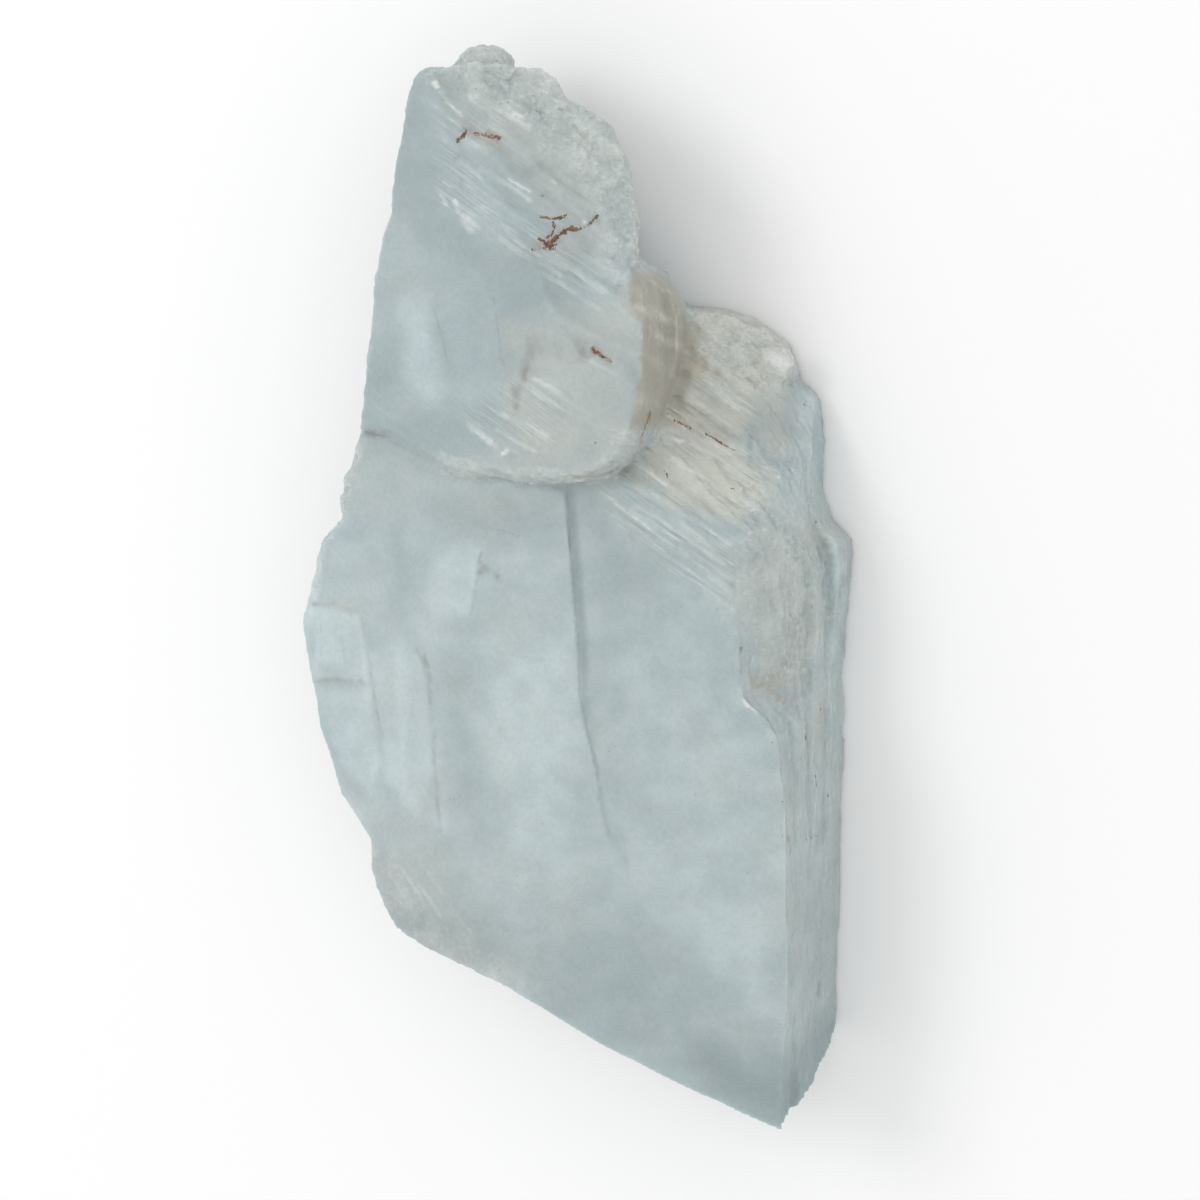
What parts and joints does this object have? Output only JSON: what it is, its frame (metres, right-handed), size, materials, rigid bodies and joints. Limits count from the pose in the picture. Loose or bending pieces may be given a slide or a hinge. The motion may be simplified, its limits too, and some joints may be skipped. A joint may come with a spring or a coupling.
{
  "type": "selenite slab",
  "caption": "Flat natural slab of pale clear-to-milky selenite with layered broken sides, a slanting lower end, and a shorter blade standing proud at its upper end.",
  "frame": {"origin": "centre of the slab's bounding box, on the plane of its resting face", "axes": "+Y along the slab towards the tip of the blade, +X towards the straight layered side, +Z out of the front cleavage face; it lies on its back cleavage face"},
  "size_m": [0.0754, 0.1458, 0.0277],
  "materials": {
    "selenite": "satin, milky and partly see-through, silky where the cleavage sheets are broken across"
  },
  "bodies": {
    "root": {"selenite_slab": "selenite"}
  },
  "joints": []
}
